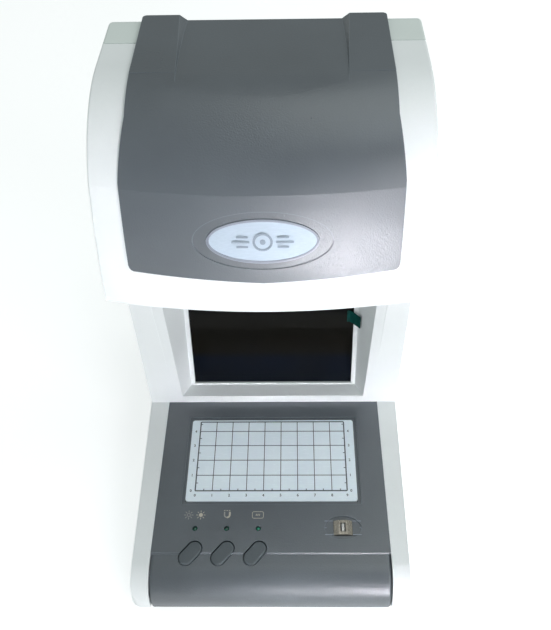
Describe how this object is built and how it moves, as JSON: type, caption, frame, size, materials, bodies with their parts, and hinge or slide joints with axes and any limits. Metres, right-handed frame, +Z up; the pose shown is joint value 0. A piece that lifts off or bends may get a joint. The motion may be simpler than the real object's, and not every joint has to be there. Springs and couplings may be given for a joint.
{
  "type": "banknote detector",
  "caption": "Desktop banknote viewer: a hood with lamp and infrared camera over a lit grid window, angled screen, keys and magnetic head.",
  "frame": {"origin": "middle of the footprint at the table, under the four feet", "axes": "+X to the right seen from the user, +Y towards the back, +Z up"},
  "size_m": [0.1554, 0.21, 0.242],
  "materials": {
    "white_shell": "fine-grained white ABS",
    "dark_cover": "textured dark grey ABS",
    "dark_deck": "textured dark grey ABS",
    "dark_key": "textured dark grey ABS",
    "bezel": "textured dark grey ABS",
    "badge_silver": "silver-blue satin foil",
    "rubber": "soft black rubber",
    "window_milky": "milky acrylic",
    "clear_acrylic": "clear acrylic",
    "board": "green circuit board",
    "led_white": "milky acrylic",
    "black_plastic": "black moulded plastic",
    "lamp_green": "green lamp lens",
    "head_steel": "plain steel",
    "head_core": "plain steel",
    "screen_black": "glossy black glass front",
    "steel": "plain steel",
    "clear_film": "thin clear film",
    "tab_green": "green pull tab",
    "tube_glass": "dark violet lamp glass",
    "holder_white": "fine-grained white ABS",
    "reflector_alu": "bright sheet",
    "lens_glass": "coated lens glass",
    "lamp_infrared": "clear acrylic",
    "brass_pin": "plated brass"
  },
  "bodies": {
    "root_body": {"badge_bezel": "bezel", "badge_plate": "badge_silver", "ballast_board": "board", "ballast_brackets": "white_shell", "ballast_coil": "brass_pin", "base_deck": "dark_deck", "base_screws": "steel", "base_shell": "white_shell", "board_screws": "steel", "bottom_plate": "white_shell", "buzzer": "black_plastic", "camera_board": "board", "camera_chip": "black_plastic", "camera_holder": "black_plastic", "camera_lens": "lens_glass", "capacitors": "reflector_alu", "display_backlight": "steel", "display_board": "board", "display_cell": "screen_black", "display_chips": "black_plastic", "display_frame": "black_plastic", "display_spacers": "black_plastic", "film_pull_tab": "tab_green", "front_shell": "white_shell", "head_bracket": "black_plastic", "hood_cover": "dark_cover", "hood_floor": "black_plastic", "indicator_lamps": "lamp_green", "infrared_board": "board", "infrared_lamps": "lamp_infrared", "key_board": "board", "lamp_end_caps": "steel", "lamp_holder_left": "holder_white", "lamp_holder_right": "holder_white", "lamp_reflector": "reflector_alu", "lamp_tube": "tube_glass", "light_guide": "clear_acrylic", "magnetic_head_can": "head_steel", "magnetic_head_core": "head_core", "main_board": "board", "main_processor": "black_plastic", "power_coil": "black_plastic", "power_inlet": "black_plastic", "power_inlet_pin": "brass_pin", "rear_shell": "white_shell", "rubber_feet": "rubber", "screen_film": "clear_film", "screen_glass": "screen_black", "switch_body": "black_plastic", "switch_terminals": "brass_pin", "tact_switches": "black_plastic", "tower_screws": "steel", "window_board": "board", "window_frame": "black_plastic", "window_lamps": "led_white", "window_panel": "window_milky"},
    "key_light_cap": {"key_light": "dark_key"},
    "key_magnetic_cap": {"key_magnetic": "dark_key"},
    "key_banknote_cap": {"key_banknote": "dark_key"},
    "rocker": {"power_rocker": "black_plastic"}
  },
  "joints": [
    {"name": "key_light_press", "type": "slide", "parent": "root_body", "child": "key_light_cap", "axis": [0, 0, -1], "range_m": [0, 0.001], "stiffness_N_per_m": 400, "springref_m": -0.0006},
    {"name": "key_magnetic_press", "type": "slide", "parent": "root_body", "child": "key_magnetic_cap", "axis": [0, 0, -1], "range_m": [0, 0.001], "stiffness_N_per_m": 400, "springref_m": -0.0006},
    {"name": "key_banknote_press", "type": "slide", "parent": "root_body", "child": "key_banknote_cap", "axis": [0, 0, -1], "range_m": [0, 0.001], "stiffness_N_per_m": 400, "springref_m": -0.0006},
    {"name": "power_rock", "type": "hinge", "parent": "root_body", "child": "rocker", "pos_m": [0.04, 0.0996, 0.015], "axis": [0, 0, 1], "range_deg": [0, 20]}
  ]
}
